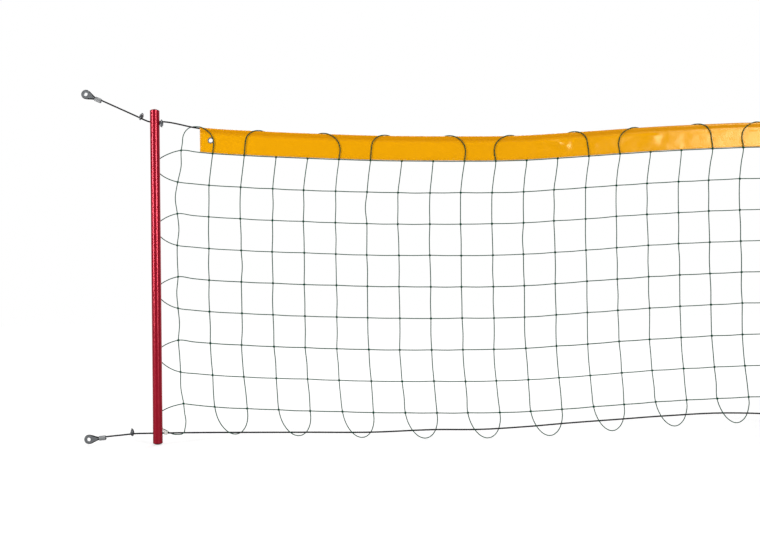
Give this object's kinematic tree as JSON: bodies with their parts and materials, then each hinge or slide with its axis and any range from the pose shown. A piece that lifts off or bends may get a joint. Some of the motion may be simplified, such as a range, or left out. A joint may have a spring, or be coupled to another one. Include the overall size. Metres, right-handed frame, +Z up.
{
  "type": "volleyball net",
  "caption": "Square-mesh ball net between two short poles, hung from a wire rope under a folded fabric band, with a foot rope, rope clips and thimble eyes.",
  "frame": {"origin": "centre of the left upper thimble's bore, where the net hangs", "axes": "+X along the net towards the right pole, +Y to the back of the net, +Z up"},
  "size_m": [2.6255, 0.0408, 1.1237],
  "materials": {
    "red_tube": "gloss lacquer",
    "plug": "moulded",
    "coated_wire": "black coated wire rope",
    "zinc": "zinc plated",
    "dark_zinc": "dull zinc",
    "ferrule": "pressed",
    "band_fabric": "coated yellow fabric",
    "twine": "twisted green twine",
    "lacing_cord": "white braided cord"
  },
  "bodies": {
    "root": {"left_head_tail": "coated_wire", "right_head_tail": "coated_wire", "left_head_thimble": "zinc", "right_head_thimble": "zinc", "left_head_ferrule": "ferrule", "right_head_ferrule": "ferrule"},
    "curtain": {"left_pole": "red_tube", "right_pole": "red_tube", "left_top_plug": "plug", "left_bottom_plug": "plug", "right_top_plug": "plug", "right_bottom_plug": "plug", "head_rope": "coated_wire", "foot_rope": "coated_wire", "left_foot_tail": "coated_wire", "right_foot_tail": "coated_wire", "left_foot_thimble": "zinc", "right_foot_thimble": "zinc", "left_foot_ferrule": "ferrule", "right_foot_ferrule": "ferrule", "inner_clip_bows": "zinc", "inner_clip_saddles": "dark_zinc", "inner_clip_nuts": "zinc", "band": "band_fabric", "left_eyelet": "zinc", "right_eyelet": "zinc", "net_rows": "twine", "net_uprights": "twine", "left_lacing": "lacing_cord", "right_lacing": "lacing_cord"},
    "left_head_clip": {"left_head_clip_bow": "zinc", "left_head_clip_saddle": "dark_zinc", "left_head_clip_nuts": "zinc"},
    "left_foot_clip": {"left_foot_clip_bow": "zinc", "left_foot_clip_saddle": "dark_zinc", "left_foot_clip_nuts": "zinc"},
    "right_head_clip": {"right_head_clip_bow": "zinc", "right_head_clip_saddle": "dark_zinc", "right_head_clip_nuts": "zinc"},
    "right_foot_clip": {"right_foot_clip_bow": "zinc", "right_foot_clip_saddle": "dark_zinc", "right_foot_clip_nuts": "zinc"}
  },
  "joints": [
    {"name": "net_swing", "type": "hinge", "parent": "root", "child": "curtain", "pos_m": [0.21577, 0, -0.08893], "axis": [1, 0, 0], "range_deg": [-25, 25]},
    {"name": "left_head_clip_slide", "type": "slide", "parent": "root", "child": "left_head_clip", "axis": [-0.9063, 0, 0.4226], "range_m": [0, 0.12]},
    {"name": "right_head_clip_slide", "type": "slide", "parent": "root", "child": "right_head_clip", "axis": [0.9063, 0, 0.4226], "range_m": [0, 0.12]},
    {"name": "left_foot_clip_slide", "type": "slide", "parent": "curtain", "child": "left_foot_clip", "axis": [-0.9962, 0, -0.0872], "range_m": [0, 0.07]},
    {"name": "right_foot_clip_slide", "type": "slide", "parent": "curtain", "child": "right_foot_clip", "axis": [0.9962, 0, -0.0872], "range_m": [0, 0.07]}
  ]
}
